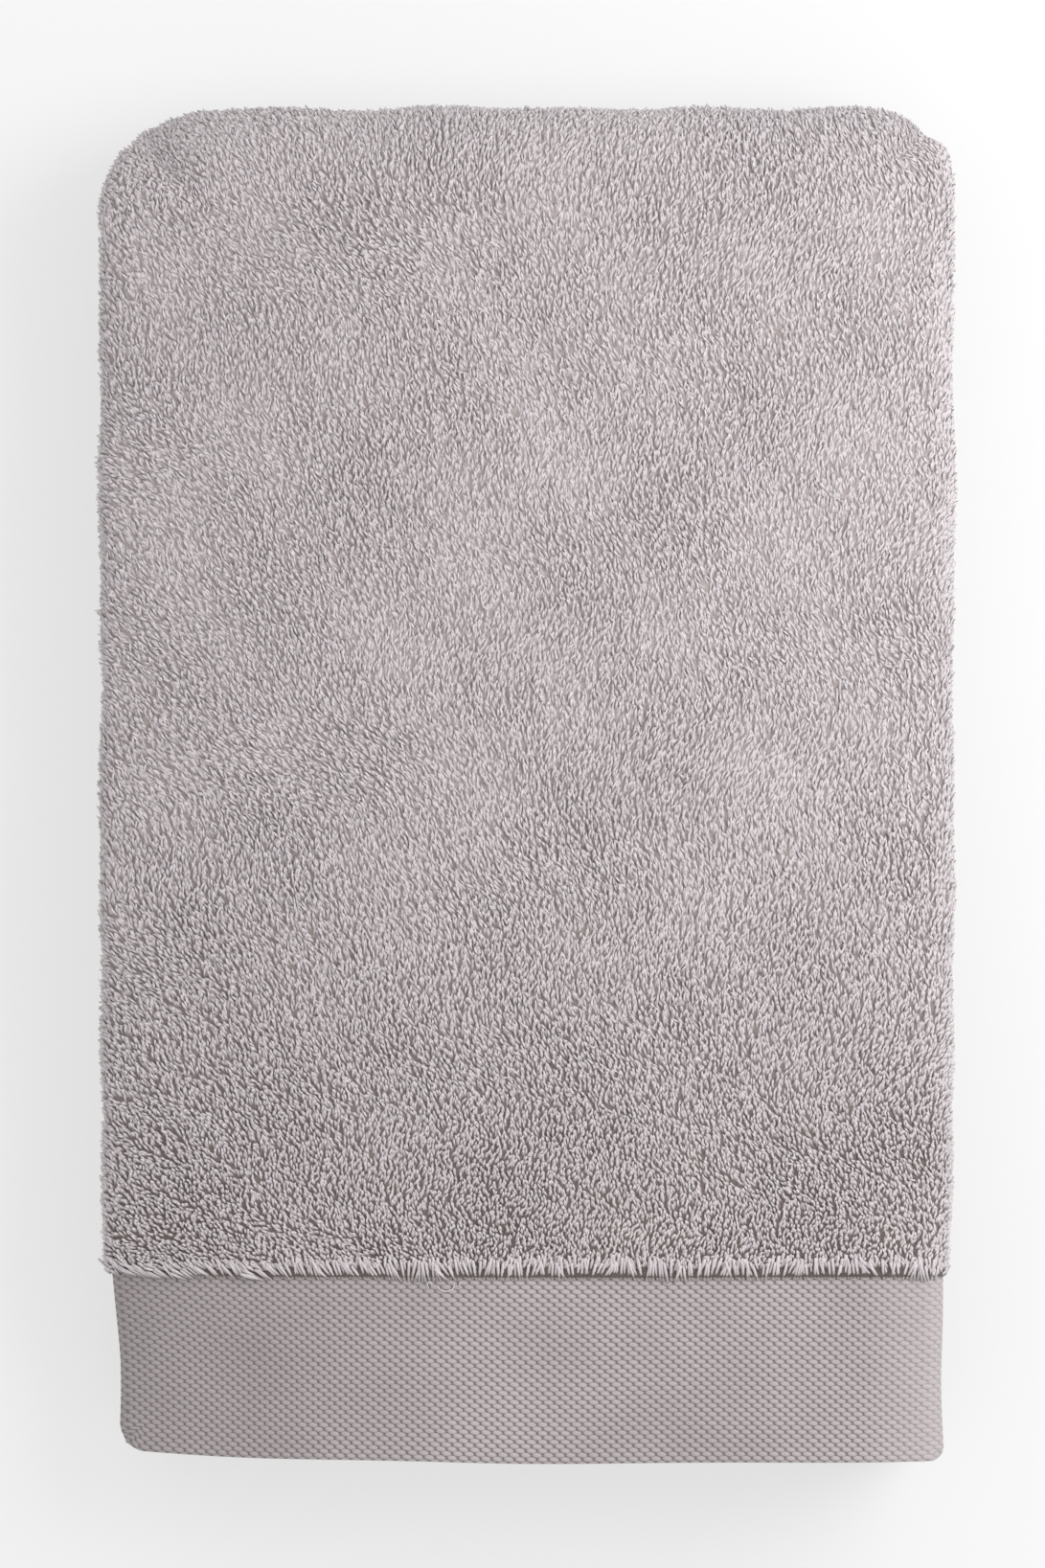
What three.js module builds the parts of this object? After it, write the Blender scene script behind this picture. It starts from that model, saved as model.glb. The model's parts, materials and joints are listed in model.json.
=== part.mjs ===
// A terry bath towel folded for the shelf, lying flat with its best face up.
//
// The towel is one woven cloth. It is folded lengthwise in thirds, like a letter, then crosswise in half and in
// half again, so that a narrow strip of three plies lies back and forth in four quarters. Each stretch of the
// strip is one solid: the four flat quarters, the three folds between them, the flat-woven border bands at the
// two ends, and the hems. Units are millimetres. X runs across the towel, +Y points to its top fold, +Z is up,
// and the origin is on the surface that it lies on, under its middle.

import * as THREE from "three";

// ---- Driving dimensions ----
const CUT_WIDTH = 700; // the towel laid open, across
const CUT_LENGTH = 1500; // the towel laid open, end to end
const PLY = 4.5; // from one terry ply to the next in the stack
const GAP = 0.3; // air between neighbouring solids
const BAND_LENGTH = 52; // flat-woven border band at each end
const BAND_CLOTH = 1.4; // thickness of the border band
const HEM_LENGTH = 15; // end hem, turned under the border band
const HEM_CLOTH = 0.6; // thickness of the turned cloth
const STITCH = 0.6; // thickness of the sewing thread's row
const SIDE_HEM_WIDTH = 9; // hem along each side of the towel
const SIDE_HEM_CLOTH = 2.6; // thickness of the side hem, turned twice
const INNER_EDGE_SETBACK = 3; // the tucked-in third stops this far before the right fold
const OUTER_EDGE_SETBACK = 4; // the last third stops this far before the left fold
const INNER_END_SETBACK = 6; // the hidden end stops this far above the visible one
const LABEL_WIDTH = 24; // care label, left blank
const LABEL_LENGTH = 30;
const LABEL_CLOTH = 0.5;
const LABEL_SETIN = 6; // from the visible end to the label

const ARC_STEPS = 14; // facets round a crosswise fold
const EDGE_STEPS = 8; // facets round a lengthwise fold

// ---- Worked out from them ----
const TERRY = PLY - GAP; // thickness of one terry ply
const STRIP = 3 * PLY; // from one quarter to the next in the stack
const STRIP_SOLID = STRIP - GAP;
const LEFT_RADIUS = PLY / 2; // centre lines of the two lengthwise folds
const RIGHT_RADIUS = PLY;
const LEFT_ROOM = LEFT_RADIUS + TERRY / 2; // from a fold's centre to its outside
const RIGHT_ROOM = RIGHT_RADIUS + TERRY / 2;

// The three thirds and the two folds between them use up the cut width.
const FOLDED_WIDTH =
  (CUT_WIDTH + 2 * LEFT_ROOM + 3 * RIGHT_ROOM + INNER_EDGE_SETBACK + OUTER_EDGE_SETBACK -
    Math.PI * (LEFT_RADIUS + RIGHT_RADIUS)) / 3;

// The four quarters and the three folds between them use up the cut length.
const OUTER_RADIUS = 1.5 * STRIP; // centre lines of the crosswise folds
const INNER_RADIUS = 0.5 * STRIP;
const OUTER_ROOM = OUTER_RADIUS + STRIP_SOLID / 2;
const INNER_ROOM = INNER_RADIUS + STRIP_SOLID / 2;
const FOLDED_LENGTH =
  (CUT_LENGTH + 4 * OUTER_ROOM + 2 * INNER_ROOM + INNER_END_SETBACK -
    Math.PI * (OUTER_RADIUS + 2 * INNER_RADIUS)) / 4;

const LEFT_X = -FOLDED_WIDTH / 2 + LEFT_ROOM; // centres of the lengthwise folds
const RIGHT_X = FOLDED_WIDTH / 2 - RIGHT_ROOM;
const END_Y = -FOLDED_LENGTH / 2; // the visible end
const TOP_FOLD_Y = FOLDED_LENGTH / 2 - OUTER_ROOM; // centres of the crosswise folds
const BOTTOM_FOLD_Y = END_Y + INNER_ROOM;
const BACK_Z = STRIP_SOLID / 2; // mid-plane of the lowest quarter

// ---- The strip's way through the stack ----
// A point of the strip is (x, n, s): s along the strip from the visible end, n its height above the strip's
// mid-plane, on the side of the middle third. Each stretch is a straight run or an arc in the Y-Z plane.
const DOWN = -Math.PI / 2;
const UP = Math.PI / 2;

function run(y, z, heading, length) {
  const along = Math.cos(heading);
  return { length, at: (s, n) => [y + s * along, z + n * along] };
}

// turn is -1 for a fold with the middle third outside, +1 with it inside.
function arc(y, z, radius, startAngle, turn) {
  const at = (s, n) => {
    const angle = startAngle + (turn * s) / radius;
    const reach = radius - turn * n;
    return [y + reach * Math.cos(angle), z + reach * Math.sin(angle)];
  };
  return { length: Math.PI * radius, at, steps: ARC_STEPS };
}

const FRONT_RUN = TOP_FOLD_Y - END_Y;
const MIDDLE_RUN = TOP_FOLD_Y - BOTTOM_FOLD_Y;
const STACK_MIDDLE_Z = BACK_Z + 1.5 * STRIP;
const stretches = {
  front_quarter: run(END_Y, BACK_Z + 3 * STRIP, 0, FRONT_RUN),
  top_fold_outer: arc(TOP_FOLD_Y, STACK_MIDDLE_Z, OUTER_RADIUS, UP, -1),
  back_quarter: run(TOP_FOLD_Y, BACK_Z, Math.PI, MIDDLE_RUN),
  bottom_fold: arc(BOTTOM_FOLD_Y, BACK_Z + STRIP / 2, INNER_RADIUS, DOWN, -1),
  inner_back_quarter: run(BOTTOM_FOLD_Y, BACK_Z + STRIP, 0, MIDDLE_RUN),
  top_fold_inner: arc(TOP_FOLD_Y, STACK_MIDDLE_Z, INNER_RADIUS, DOWN, 1),
  inner_front_quarter: run(TOP_FOLD_Y, BACK_Z + 2 * STRIP, Math.PI, FRONT_RUN - INNER_END_SETBACK),
};

// ---- Sections of the strip ----
// The letter fold's centre line, from the tucked-in edge over the middle third to the last edge, with each
// end cut short by trim. Its middle third is at n = PLY and the last third at n = -PLY.
function letterLine(trim) {
  const line = [{ x: RIGHT_X - INNER_EDGE_SETBACK - trim, n: 0, angle: Math.PI }];
  for (let i = 0; i <= EDGE_STEPS; i++) {
    const a = -Math.PI / 2 - (Math.PI * i) / EDGE_STEPS;
    line.push({
      x: LEFT_X + LEFT_RADIUS * Math.cos(a),
      n: PLY / 2 + LEFT_RADIUS * Math.sin(a),
      angle: a - Math.PI / 2,
    });
  }
  for (let i = 0; i <= EDGE_STEPS; i++) {
    const a = Math.PI / 2 - (Math.PI * i) / EDGE_STEPS;
    line.push({
      x: RIGHT_X + RIGHT_RADIUS * Math.cos(a),
      n: RIGHT_RADIUS * Math.sin(a),
      angle: a - Math.PI / 2,
    });
  }
  line.push({ x: -FOLDED_WIDTH / 2 + OUTER_EDGE_SETBACK + trim, n: -PLY, angle: Math.PI });
  return line;
}

// A closed outline on both sides of the centre line. offset moves it to the cloth's outer side. The outline is
// drawn with X reversed, because (-x, n, s) is right-handed.
function ribbonShape(thickness, offset = 0) {
  const line = letterLine(SIDE_HEM_WIDTH + GAP);
  const side = (p, d) => new THREE.Vector2(-(p.x - d * Math.sin(p.angle)), p.n + d * Math.cos(p.angle));
  const outer = line.map((p) => side(p, offset + thickness / 2));
  const inner = line.map((p) => side(p, offset - thickness / 2));
  return new THREE.Shape([...outer, ...inner.reverse()]);
}

function rectShape(x0, x1, n, thickness) {
  const shape = new THREE.Shape();
  shape.moveTo(-x0, n - thickness / 2);
  shape.lineTo(-x1, n - thickness / 2);
  shape.lineTo(-x1, n + thickness / 2);
  shape.lineTo(-x0, n + thickness / 2);
  shape.closePath();
  return shape;
}

const terryShape = ribbonShape(TERRY);
const bandShape = ribbonShape(BAND_CLOTH);
const turnedOffset = -(BAND_CLOTH / 2 + GAP + HEM_CLOTH / 2);
const endHemShape = ribbonShape(HEM_CLOTH, turnedOffset);
const stitchShape = ribbonShape(STITCH, turnedOffset);
const tuckedEdge = RIGHT_X - INNER_EDGE_SETBACK;
const lastEdge = -FOLDED_WIDTH / 2 + OUTER_EDGE_SETBACK;
const leftHemShape = rectShape(tuckedEdge - SIDE_HEM_WIDTH, tuckedEdge, 0, SIDE_HEM_CLOTH);
const rightHemShape = rectShape(lastEdge, lastEdge + SIDE_HEM_WIDTH, -PLY, SIDE_HEM_CLOTH);

// ---- Solids ----
// The section is extruded flat, between two places along a stretch, then carried to its place in the stack.
function stripGeometry(shape, stretch, from, to) {
  const geometry = new THREE.ExtrudeGeometry(shape, {
    depth: to - from,
    steps: stretch.steps ?? 1,
    bevelEnabled: false,
  });
  const position = geometry.getAttribute("position");
  for (let i = 0; i < position.count; i++) {
    const [y, z] = stretch.at(from + position.getZ(i), position.getY(i));
    position.setXYZ(i, -position.getX(i), y, z);
  }
  geometry.computeVertexNormals();
  return geometry;
}

const materials = {
  terry: new THREE.MeshStandardMaterial({ color: 0xbdb4b5, roughness: 0.95, metalness: 0 }),
  border: new THREE.MeshStandardMaterial({ color: 0xaea6a7, roughness: 0.85, metalness: 0 }),
  hem: new THREE.MeshStandardMaterial({ color: 0xa8a0a1, roughness: 0.88, metalness: 0 }),
  thread: new THREE.MeshStandardMaterial({ color: 0xb8b0b0, roughness: 0.7, metalness: 0 }),
  label: new THREE.MeshStandardMaterial({ color: 0xf0eeea, roughness: 0.6, metalness: 0 }),
};

const towel = new THREE.Group();

function addMesh(name, geometry, material) {
  const mesh = new THREE.Mesh(geometry, material.clone());
  mesh.name = name;
  towel.add(mesh);
  return mesh;
}

function addStrip(name, shape, stretch, from, to, material) {
  addMesh(name, stripGeometry(shape, stretch, from + GAP / 2, to - GAP / 2), material);
}

// Each stretch has its terry and the hems along the towel's two sides. The terry of the first and the last
// quarter stops at the border band; along the last quarter the strip runs towards its end.
function addStretch(name, stretch) {
  const start = name === "front_quarter" ? BAND_LENGTH : 0;
  const stop = stretch.length - (name === "inner_front_quarter" ? BAND_LENGTH : 0);
  addStrip(name + "_terry", terryShape, stretch, start, stop, materials.terry);
  addStrip(name + "_left_side_hem", leftHemShape, stretch, 0, stretch.length, materials.hem);
  addStrip(name + "_right_side_hem", rightHemShape, stretch, 0, stretch.length, materials.hem);
}

// The border band, the hem turned under it and the hem's stitching, at one end of the towel. place turns a
// distance from that end into a distance along the stretch.
function addBorder(name, stretch, place) {
  const add = (part, shape, from, to, material) => {
    const ends = [place(from), place(to)].sort((a, b) => a - b);
    addStrip(name + part, shape, stretch, ends[0], ends[1], material);
  };
  add("_border_band", bandShape, 0, BAND_LENGTH, materials.border);
  add("_end_hem", endHemShape, 0, HEM_LENGTH, materials.hem);
  add("_hem_stitching", stitchShape, HEM_LENGTH, HEM_LENGTH + GAP + STITCH, materials.thread);
}

// The care label hangs from the right side hem, between the two quarters that end at the border bands.
function addCareLabel() {
  const geometry = new THREE.BoxGeometry(LABEL_WIDTH, LABEL_LENGTH, LABEL_CLOTH);
  const label = addMesh("care_label", geometry, materials.label);
  label.position.set(
    lastEdge + LABEL_WIDTH / 2,
    END_Y + LABEL_SETIN + LABEL_LENGTH / 2,
    BACK_Z + 2.5 * STRIP,
  );
}

for (const [name, stretch] of Object.entries(stretches)) addStretch(name, stretch);
addBorder("front", stretches.front_quarter, (d) => d);
addBorder("inner", stretches.inner_front_quarter, (d) => stretches.inner_front_quarter.length - d);
addCareLabel();

export default towel;
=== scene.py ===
"""A folded terry bath towel: looped pile, flat-woven border bands, hems and their stitching.

The towel is a strip of three plies, its width folded like a letter, that lies back and forth in four
quarters. Every soft piece is laid out flat on that strip and carried to its place in the stack by the same
folds as the solids in the frame. The pile is made of small yarn loops, repeated with seeded variation.
"""

import json
import math
from types import SimpleNamespace

import bpy
import numpy as np
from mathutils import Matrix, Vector


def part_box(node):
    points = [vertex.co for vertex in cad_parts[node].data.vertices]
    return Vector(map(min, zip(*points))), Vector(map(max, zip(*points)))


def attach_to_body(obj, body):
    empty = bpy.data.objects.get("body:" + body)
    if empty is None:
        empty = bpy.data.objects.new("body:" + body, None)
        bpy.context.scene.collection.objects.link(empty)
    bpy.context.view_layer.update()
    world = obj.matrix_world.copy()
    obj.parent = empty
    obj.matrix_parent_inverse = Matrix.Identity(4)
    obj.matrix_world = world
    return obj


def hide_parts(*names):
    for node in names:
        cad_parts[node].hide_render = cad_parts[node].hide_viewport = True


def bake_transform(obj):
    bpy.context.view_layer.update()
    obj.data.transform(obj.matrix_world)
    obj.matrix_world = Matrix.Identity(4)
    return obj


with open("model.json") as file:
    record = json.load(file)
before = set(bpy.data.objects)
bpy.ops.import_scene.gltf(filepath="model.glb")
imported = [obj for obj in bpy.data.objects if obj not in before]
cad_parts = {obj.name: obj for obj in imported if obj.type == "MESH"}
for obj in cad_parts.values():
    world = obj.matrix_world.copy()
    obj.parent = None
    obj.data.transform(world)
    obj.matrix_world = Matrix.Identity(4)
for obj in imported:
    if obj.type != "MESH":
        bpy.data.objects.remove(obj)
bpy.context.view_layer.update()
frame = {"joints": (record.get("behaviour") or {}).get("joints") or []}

MM = 0.001
rng = np.random.default_rng(20)

# ---- Sizes read from the frame ----
front_lo, front_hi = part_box("front_quarter_terry")
inner_lo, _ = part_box("inner_front_quarter_terry")
band_lo, band_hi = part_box("front_border_band")
tucked_lo, tucked_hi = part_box("front_quarter_left_side_hem")
last_lo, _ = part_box("front_quarter_right_side_hem")
inner_band_lo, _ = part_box("inner_border_band")
_, end_hem_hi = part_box("front_end_hem")
hinge = frame["joints"][0]["pos_m"]

STRIP_SOLID = front_hi.z - front_lo.z
STRIP = front_lo.z - inner_lo.z  # from one quarter to the next in the stack
GAP = STRIP - STRIP_SOLID
PLY = STRIP / 3
HALF_WIDTH = front_hi.x
BAND_CLOTH = band_hi.z - band_lo.z - 2 * PLY
BACK_Z = STRIP_SOLID / 2
END_Y = band_lo.y - GAP / 2
INNER_END_Y = inner_band_lo.y - GAP / 2
BAND_LENGTH = band_hi.y + GAP / 2 - END_Y
TOP_FOLD_Y = hinge[1]
STACK_MIDDLE_Z = hinge[2]
LEFT_RADIUS = PLY / 2  # centre lines of the lengthwise folds
RIGHT_RADIUS = PLY
LEFT_X = -HALF_WIDTH + LEFT_RADIUS + (PLY - GAP) / 2
RIGHT_X = HALF_WIDTH - RIGHT_RADIUS - (PLY - GAP) / 2
OUTER_RADIUS = 1.5 * STRIP  # centre lines of the crosswise folds
INNER_RADIUS = 0.5 * STRIP
BOTTOM_FOLD_Y = END_Y + INNER_RADIUS + STRIP_SOLID / 2
STACK_TOP = front_hi.z

CLOTH = 3.6 * MM  # ground cloth with the pressed part of its pile, both sides
PILE_SIDE = CLOTH / 2


# ---- The strip's way through the stack ----
def run(y, z, heading, length):
    """A straight stretch of the strip. at(s, n) is the place s along it and n outside its middle."""
    along = math.cos(heading)

    def at(s, n):
        return y + s * along, z + n * along

    return SimpleNamespace(length=length, at=at, stretched=lambda n: 1.0, curved=False)


def arc(y, z, radius, start, turn):
    """A half turn of the strip round (y, z), from the angle start, with turn 1 or -1 for its direction."""

    def at(s, n):
        angle = start + turn * s / radius
        reach = radius - turn * n
        return y + reach * np.cos(angle), z + reach * np.sin(angle)

    def stretched(n):
        return (radius - turn * n) / radius

    return SimpleNamespace(length=math.pi * radius, at=at, stretched=stretched, curved=True)


FRONT_RUN = TOP_FOLD_Y - END_Y
MIDDLE_RUN = TOP_FOLD_Y - BOTTOM_FOLD_Y
UP, DOWN = math.pi / 2, -math.pi / 2
stretches = {
    "front_quarter": run(END_Y, BACK_Z + 3 * STRIP, 0, FRONT_RUN),
    "top_fold_outer": arc(TOP_FOLD_Y, STACK_MIDDLE_Z, OUTER_RADIUS, UP, -1),
    "back_quarter": run(TOP_FOLD_Y, BACK_Z, math.pi, MIDDLE_RUN),
    "bottom_fold": arc(BOTTOM_FOLD_Y, BACK_Z + STRIP / 2, INNER_RADIUS, DOWN, -1),
    "inner_back_quarter": run(BOTTOM_FOLD_Y, BACK_Z + STRIP, 0, MIDDLE_RUN),
    "top_fold_inner": arc(TOP_FOLD_Y, STACK_MIDDLE_Z, INNER_RADIUS, DOWN, 1),
    "inner_front_quarter": run(TOP_FOLD_Y, BACK_Z + 2 * STRIP, math.pi, TOP_FOLD_Y - INNER_END_Y),
}

# ---- The letter fold across the strip ----
TUCKED_RUN = tucked_hi.x - LEFT_X
MIDDLE_THIRD = RIGHT_X - LEFT_X
LAST_RUN = RIGHT_X - last_lo.x
SIDE_HEM = tucked_hi.x - tucked_lo.x


def letter_marks(grow):
    """Where the letter fold's five stretches end, measured along it at the distance grow outside it."""
    left_fold = math.pi * (LEFT_RADIUS + grow)
    right_fold = math.pi * (RIGHT_RADIUS + grow)
    return np.cumsum([0.0, TUCKED_RUN, left_fold, MIDDLE_THIRD, right_fold, LAST_RUN])


def letter(q, grow=0.0):
    """Places (x, n) and headings on the letter fold's middle line. q is the distance along it, measured at
    the distance grow outside it."""
    m = letter_marks(grow)
    left_turn = -math.pi / 2 - (q - m[1]) / (LEFT_RADIUS + grow)
    right_turn = math.pi / 2 - (q - m[3]) / (RIGHT_RADIUS + grow)
    part = np.searchsorted(m[1:-1], q)
    x = np.choose(part, [
        tucked_hi.x - q,
        LEFT_X + LEFT_RADIUS * np.cos(left_turn),
        LEFT_X + (q - m[2]),
        RIGHT_X + RIGHT_RADIUS * np.cos(right_turn),
        RIGHT_X - (q - m[4]),
    ])
    n = np.choose(part, [
        np.zeros_like(q),
        PLY / 2 + LEFT_RADIUS * np.sin(left_turn),
        np.full_like(q, PLY),
        RIGHT_RADIUS * np.sin(right_turn),
        np.full_like(q, -PLY),
    ])
    heading = np.choose(part, [
        np.full_like(q, math.pi),
        left_turn - math.pi / 2,
        np.zeros_like(q),
        right_turn - math.pi / 2,
        np.full_like(q, math.pi),
    ])
    return x, n, heading


def on_strip(stretch, q, s, offset, grow=0.0):
    """World points for places (q, s) on the strip, at a height offset outside the cloth's middle."""
    x, n, heading = letter(q, grow)
    x = x - offset * np.sin(heading)
    n = n + offset * np.cos(heading)
    y, z = stretch.at(s, n)
    return np.stack(np.broadcast_arrays(x, y, z), -1)


# ---- How soft cloth departs from the plain folds ----
def waves(a, b, lengths, seed):
    """Smooth noise from a few plane waves, about -1 to 1."""
    draw = np.random.default_rng(seed)
    total = 0.0
    for length in lengths:
        turn = draw.uniform(0, 2 * math.pi)
        total = total + np.sin((a * math.cos(turn) + b * math.sin(turn)) * 2 * math.pi / length
                               + draw.uniform(0, 2 * math.pi))
    return total / len(lengths) ** 0.5


def ramp(value, low, high):
    t = np.clip((value - low) / (high - low), 0, 1)
    return t * t * (3 - 2 * t)


def round_corner(x, y, side, end, x_edge, y_edge, radius):
    """Turns the square corner at (x_edge, y_edge), seen from above, into a round one."""
    a = np.clip((side * (x - x_edge) + radius) / radius, 1e-9, None)
    b = np.clip((end * (y - y_edge) + radius) / radius, 1e-9, None)
    change = (a ** 8 + b ** 8) ** (1 / 8) / np.hypot(a, b) - 1
    return x + side * radius * a * change, y + end * radius * b * change


SIDE_BOW = 1.6 * MM
BOW_MIDDLE = 70 * MM
BOW_REACH = 0.62 * FRONT_RUN
SIDE_WAVE = 0.4 * MM
UNDER_DRAW = 1.1 * MM  # how far the layers under the front face stay behind its sides
BAND_TUCK = 2.8 * MM  # the border band draws in towards its end
UNDER_TUCK = 3.6 * MM  # and the layers under it stay behind its edges
LUMPS = 0.75 * MM
CROWN = 1.6 * MM  # how far the sides lie lower than the middle
LEFT_SLUMP = 4.2 * MM  # and the left side, where only two plies meet the fold, lower still
EDGE_DROP = 3.4 * MM  # and how much further their very edges turn down
BAND_DROP = 4 * MM  # how much further the band's left end slopes down
FOLD_WAVE = 0.8 * MM  # how far the top fold swells and waves
LEFT_END_RISE = 2.2 * MM  # how much shorter the left end lies
END_WAVE = 0.35 * MM
TOP_LEFT_CORNER, TOP_RIGHT_CORNER = 31 * MM, 20 * MM  # radii, seen from above
END_LEFT_CORNER, END_RIGHT_CORNER = 8 * MM, 4 * MM
FLOOR_PRESS = 1.5 * MM  # the pile under the towel is pressed flat
LOWEST = 0.05 * MM


def from_end(y, near, far):
    """From 1 at the distance near from the towel's end, or closer, to 0 at the distance far."""
    return ramp(-y, -END_Y - far, -END_Y - near)


def soft_sides(x, y, z):
    """The change of x where the sides bow out and wave, and where the lower layers and the band draw in."""
    across = np.abs(x) / HALF_WIDTH
    under = 1 - ramp(z, front_lo.z - 1.2 * MM, front_lo.z + 0.6 * MM)
    bow = SIDE_BOW * np.cos(np.clip((y - BOW_MIDDLE) / BOW_REACH, -1.5, 1.5))
    wave = SIDE_WAVE * waves(y, z * 4, [55 * MM, 90 * MM, 38 * MM], 5)
    drawn_in = under * UNDER_DRAW * (1 + 0.9 * waves(y, z * 5, [70 * MM, 120 * MM, 45 * MM], 6))
    band_tuck = np.where(x < 0, 1.0, 0.25) * BAND_TUCK * from_end(y, 24 * MM, 62 * MM)
    tuck = band_tuck + under * UNDER_TUCK * from_end(y, 48 * MM, 70 * MM)
    return np.sign(x) * (ramp(across, 0.8, 1.0) * (bow + wave - drawn_in) - ramp(across, 0.3, 1.0) * tuck)


def sag(x, y, across):
    """How much lower the front face lies: lumps, sides that slump and turn down, and the band's slope."""
    toward_end = from_end(y, 24 * MM, 62 * MM)
    lumps = LUMPS * waves(x, y, [64 * MM, 97 * MM, 143 * MM, 41 * MM], 9)
    slump = LEFT_SLUMP * (1 + 0.9 * toward_end) * np.clip((-x / HALF_WIDTH - 0.2) / 0.8, 0, None) ** 2
    edge = EDGE_DROP * across ** 9 * np.where(x < 0, 1.1, 0.8)
    band_slope = BAND_DROP * toward_end * ramp(-x, 0, HALF_WIDTH)
    return CROWN * across ** 2 + slump + edge + band_slope - lumps


def soft_ends(x, y, z):
    """The change of y where the top fold swells and waves, and where the band's end waves and slants."""
    over_top = np.clip((y - TOP_FOLD_Y) / OUTER_RADIUS, 0, 1)
    swell = over_top * FOLD_WAVE * (1 + 0.55 * waves(x, z, [50 * MM, 83 * MM, 33 * MM], 3))
    slant = LEFT_END_RISE * ramp(-x, 0.3 * HALF_WIDTH, HALF_WIDTH)
    wave = END_WAVE * waves(x, 0, [61 * MM, 37 * MM], 8)
    return swell + from_end(y, 0, 70 * MM) * (slant + wave)


def round_corners(x, y):
    top_y = TOP_FOLD_Y + OUTER_RADIUS + STRIP_SOLID / 2
    x, y = round_corner(x, y, -1, 1, -HALF_WIDTH, top_y, TOP_LEFT_CORNER)
    x, y = round_corner(x, y, 1, 1, HALF_WIDTH, top_y, TOP_RIGHT_CORNER)
    left_end = BAND_TUCK - HALF_WIDTH
    right_end = HALF_WIDTH - BAND_TUCK + 2 * MM
    x, y = round_corner(x, y, -1, -1, left_end, END_Y + LEFT_END_RISE, END_LEFT_CORNER)
    return round_corner(x, y, 1, -1, right_end, END_Y, END_RIGHT_CORNER)


def soften(points):
    """Carries points of the plain folded shape to the softer, hand-folded one."""
    x, y, z = np.moveaxis(points, -1, 0)
    across = np.abs(x) / HALF_WIDTH
    x = x + soft_sides(x, y, z)
    z = z - ramp(z, STACK_MIDDLE_Z, STACK_TOP) * sag(x, y, across)
    y = y + soft_ends(x, y, z)
    x, y = round_corners(x, y)
    pressed = FLOOR_PRESS * np.clip(1 - z / STRIP, 0, 1.2)
    return np.stack([x, y, np.maximum(z + pressed, LOWEST)], -1)


# ---- Meshes ----
def make_mesh(name, points, faces, uv, values=None):
    """A smooth mesh object. faces is a list of arrays, each of faces with as many corners. uv holds one
    pair for each point, and values has arrays of one number for each point, by name."""
    mesh = bpy.data.meshes.new(name)
    mesh.vertices.add(len(points))
    mesh.vertices.foreach_set("co", np.ascontiguousarray(points, np.float32).ravel())
    corners = np.concatenate([f.ravel() for f in faces]).astype(np.int32)
    totals = np.concatenate([np.full(len(f), f.shape[1]) for f in faces]).astype(np.int32)
    starts = np.concatenate([[0], np.cumsum(totals)[:-1]]).astype(np.int32)
    mesh.loops.add(len(corners))
    mesh.loops.foreach_set("vertex_index", corners)
    mesh.polygons.add(len(totals))
    mesh.polygons.foreach_set("loop_start", starts)
    mesh.polygons.foreach_set("loop_total", totals)
    mesh.polygons.foreach_set("use_smooth", np.full(len(totals), True))
    layer = mesh.uv_layers.new(name="OFBake")
    low = uv.min(0)
    span = (uv.max(0) - low).max()
    layer.data.foreach_set("uv", ((uv - low) / span).astype(np.float32)[corners].ravel())
    for key, value in (values or {}).items():
        channel = mesh.attributes.new(key, "FLOAT", "POINT")
        channel.data.foreach_set("value", value.astype(np.float32))
    mesh.update(calc_edges=True)
    obj = bpy.data.objects.new(name, mesh)
    bpy.context.scene.collection.objects.link(obj)
    return obj


def sweep_faces(front, back, rows):
    """Quads of a closed ring of points repeated in rows, with its two end strips. The ring goes out along
    the places of front and comes home along those of back, which may be fewer."""
    ring = len(front) + len(back)
    i = np.arange(ring)
    j = (i + 1) % ring
    r = np.arange(rows - 1)[:, None] * ring
    side = np.stack([r + i, r + ring + i, r + ring + j, r + j], -1).reshape(-1, 4)
    cap = []
    i, j = 0, 0
    while i < len(front) - 1 or j < len(back) - 1:
        if j == len(back) - 1 or (i < len(front) - 1 and front[i + 1] <= back[j + 1]):
            cap.append((i, i + 1, ring - 1 - j))
            i += 1
        else:
            cap.append((i, ring - 2 - j, ring - 1 - j))
            j += 1
    cap = np.array(cap)
    return [side, cap, cap[:, ::-1] + (rows - 1) * ring]


def faces_out(points, faces):
    """Turns the faces so that they enclose a positive volume."""
    volume = 0.0
    for f in faces:
        for k in range(1, f.shape[1] - 1):
            a, b, c = points[f[:, 0]], points[f[:, k]], points[f[:, k + 1]]
            volume += np.einsum("ij,ij->", a, np.cross(b, c))
    return [f[:, ::-1] for f in faces] if volume < 0 else faces


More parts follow.
